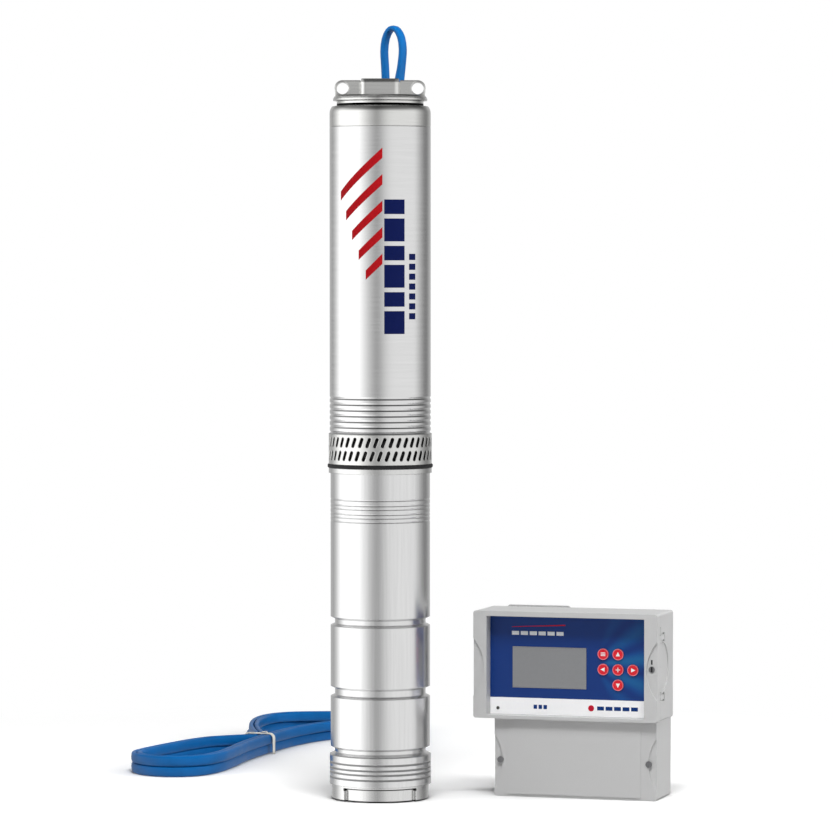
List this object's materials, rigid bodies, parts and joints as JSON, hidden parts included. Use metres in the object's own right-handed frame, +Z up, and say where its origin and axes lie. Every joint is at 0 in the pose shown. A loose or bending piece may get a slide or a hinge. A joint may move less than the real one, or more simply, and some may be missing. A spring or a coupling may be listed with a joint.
{
  "type": "solar borehole pump set",
  "caption": "Slim steel submersible borehole pump with strainer, rope eyes and a flat blue lead in a tied hank, beside its grey wall-mount controller with display, keys and hinged door.",
  "frame": {"origin": "centre of the pump's flat bottom face, on the floor that the pump and the controller stand on", "axes": "+Z up along the pump's axis, -Y towards the controller's door, +X towards the controller's free side"},
  "size_m": [0.582, 0.7402, 0.7531],
  "materials": {
    "cast_stainless": "satin cast stainless steel",
    "bracket_casting": "dark coated casting, seen as black behind the strainer slots",
    "dark_screw": "blackened cover screws",
    "motor_steel": "satin stainless steel, drawn along the can",
    "sleeve_steel": null,
    "head_steel": "turned stainless steel, bright",
    "strainer_steel": "pressed stainless sheet",
    "guard_steel": "folded stainless sheet",
    "shaft_steel": "ground stainless steel",
    "bearing_steel": "journal bearing metal with a carbon lining",
    "fastener_steel": "plain stainless fasteners",
    "spring_steel": "drawn stainless wire",
    "lamination": "stacked electrical steel",
    "magnet": "coated magnets",
    "copper_winding": "varnished copper winding",
    "bronze": "bronze",
    "black_rubber": "matte black rubber",
    "valve_rubber": "rubber-faced valve disc",
    "stage_plastic": "glass-filled stage plastic",
    "bush_carbon": "carbon bush",
    "blue_lead": "smooth blue lead sheath",
    "tie_plastic": "cream cable tie",
    "grey_plastic": "fine-textured light grey plastic",
    "bracket_metal": "light grey paint on steel",
    "key_foil": "printed blue and white front foil",
    "red_key": "red key caps with white signs",
    "display_glass": "grey display with a clear window",
    "circuit_board": "green circuit board with its parts",
    "heatsink_alloy": "extruded aluminium",
    "terminal_plastic": "green terminal blocks",
    "lock_plastic": "dark grey lock",
    "plug_plastic": "grey knock-out plugs"
  },
  "bodies": {
    "set": {"end_cap": "cast_stainless", "motor_can": "motor_steel", "pressure_diaphragm": "black_rubber", "thrust_pads": "bronze", "bearing_carrier": "cast_stainless", "motor_bearings": "bearing_steel", "stator_core": "lamination", "stator_windings": "copper_winding", "motor_flange": "cast_stainless", "shaft_seal": "black_rubber", "flange_fasteners": "fastener_steel", "rubber_ring": "black_rubber", "suction_bracket": "bracket_casting", "suction_strainer": "strainer_steel", "diffusers": "stage_plastic", "bearing_plate": "stage_plastic", "shaft_bush": "bush_carbon", "pump_sleeve": "sleeve_steel", "valve_seat": "cast_stainless", "valve_spring": "spring_steel", "valve_guide": "cast_stainless", "outlet_head": "head_steel", "rope_eyes": "head_steel", "lead_plug": "black_rubber", "motor_lead": "blue_lead", "cable_guard": "guard_steel", "guard_screws": "fastener_steel", "free_cord": "blue_lead", "cord_hank": "blue_lead", "hank_tie": "tie_plastic", "cord_end": "blue_lead", "housing": "grey_plastic", "wall_bracket": "bracket_metal", "cover_gasket": "black_rubber", "hinge_pins": "fastener_steel", "terminal_cover": "grey_plastic", "cover_screws": "dark_screw", "control_board": "circuit_board", "heatsink": "heatsink_alloy", "terminal_block": "terminal_plastic", "knockout_plugs": "plug_plastic"},
    "rotor": {"thrust_runner": "shaft_steel", "rotor_core": "lamination", "rotor_magnets": "magnet", "rotor_shaft": "shaft_steel", "shaft_coupling": "shaft_steel", "pump_shaft": "shaft_steel", "impellers": "stage_plastic"},
    "valve": {"valve_poppet": "valve_rubber"},
    "door": {"front_cover": "grey_plastic", "key_panel": "key_foil", "display": "display_glass", "key_board": "circuit_board"},
    "lock": {"cover_lock": "lock_plastic"},
    "menu_key": {"key_menu": "red_key"},
    "up_key": {"key_up": "red_key"},
    "left_key": {"key_left": "red_key"},
    "enter_key": {"key_enter": "red_key"},
    "right_key": {"key_right": "red_key"},
    "down_key": {"key_down": "red_key"}
  },
  "joints": [
    {"name": "pump_rotor", "type": "hinge", "parent": "set", "child": "rotor", "pos_m": [0, 0, 0.2], "axis": [0, 0, 1], "continuous": true},
    {"name": "check_valve", "type": "slide", "parent": "set", "child": "valve", "axis": [0, 0, 1], "range_m": [0, 0.008], "stiffness_N_per_m": 150, "springref_m": -0.004, "deforming": ["valve_spring"]},
    {"name": "door_hinge", "type": "hinge", "parent": "set", "child": "door", "pos_m": [0.0864, 0.05265, 0.131], "axis": [0, 0, -1], "range_deg": [0, 100]},
    {"name": "lock_turn", "type": "hinge", "parent": "door", "child": "lock", "pos_m": [0.2604, 0.0587, 0.128], "axis": [0, 1, 0], "range_deg": [0, 90]},
    {"name": "menu_press", "type": "slide", "parent": "door", "child": "menu_key", "axis": [0, 1, 0], "range_m": [0, 0.0008], "stiffness_N_per_m": 900, "springref_m": -0.0008},
    {"name": "up_press", "type": "slide", "parent": "door", "child": "up_key", "axis": [0, 1, 0], "range_m": [0, 0.0008], "stiffness_N_per_m": 900, "springref_m": -0.0008},
    {"name": "left_press", "type": "slide", "parent": "door", "child": "left_key", "axis": [0, 1, 0], "range_m": [0, 0.0008], "stiffness_N_per_m": 900, "springref_m": -0.0008},
    {"name": "enter_press", "type": "slide", "parent": "door", "child": "enter_key", "axis": [0, 1, 0], "range_m": [0, 0.0008], "stiffness_N_per_m": 900, "springref_m": -0.0008},
    {"name": "right_press", "type": "slide", "parent": "door", "child": "right_key", "axis": [0, 1, 0], "range_m": [0, 0.0008], "stiffness_N_per_m": 900, "springref_m": -0.0008},
    {"name": "down_press", "type": "slide", "parent": "door", "child": "down_key", "axis": [0, 1, 0], "range_m": [0, 0.0008], "stiffness_N_per_m": 900, "springref_m": -0.0008}
  ]
}
